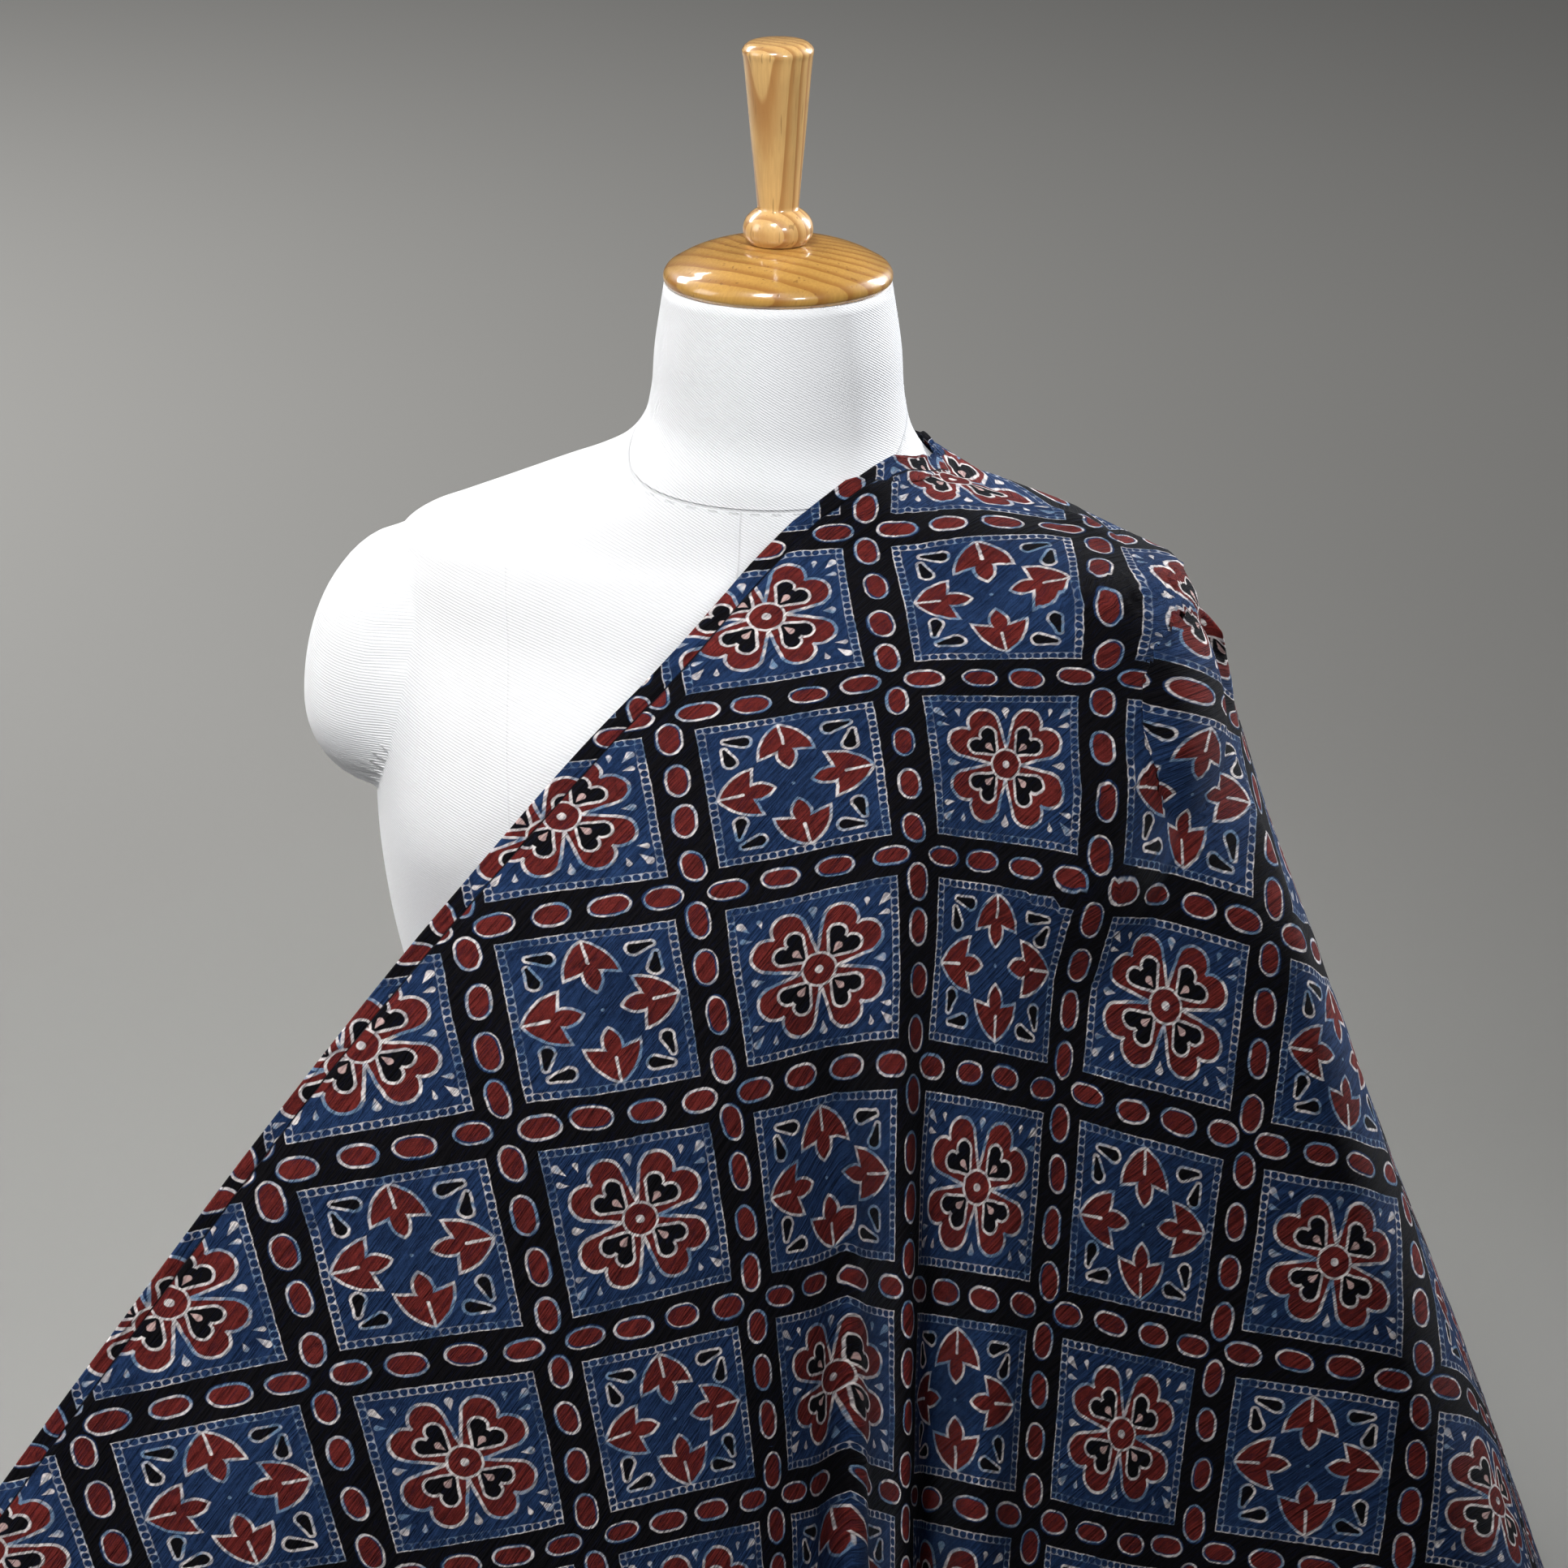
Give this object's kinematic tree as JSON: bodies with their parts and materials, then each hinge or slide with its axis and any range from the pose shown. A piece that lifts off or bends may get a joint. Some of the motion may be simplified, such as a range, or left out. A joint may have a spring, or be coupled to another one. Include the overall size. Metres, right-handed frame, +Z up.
{
  "type": "ajrakh block-printed cotton draped on a tabletop dress form",
  "caption": "Length of ajrakh block-printed cotton draped over one shoulder of a cloth-covered tabletop dress form with a turned wooden neck cap and finial.",
  "frame": {"origin": "centre of the base's underside, on the surface that the form stands on, under the neck's axis", "axes": "+Z up along the neck; -Y towards the viewer of the cloth's front; +X towards the draped shoulder"},
  "size_m": [0.903, 0.4115, 0.839],
  "materials": {
    "ajrakh_cotton": "matte plain-weave cotton, resist and block printed in indigo, madder red and black with undyed outlines",
    "form_cover": "white cotton twill stretched over the form",
    "turned_wood": "turned pale hardwood with a gloss varnish",
    "stand": "satin black paint"
  },
  "bodies": {
    "root": {"base": "stand", "form": "form_cover", "neck_cap": "turned_wood", "finial": "turned_wood", "cloth": "ajrakh_cotton"}
  },
  "joints": []
}
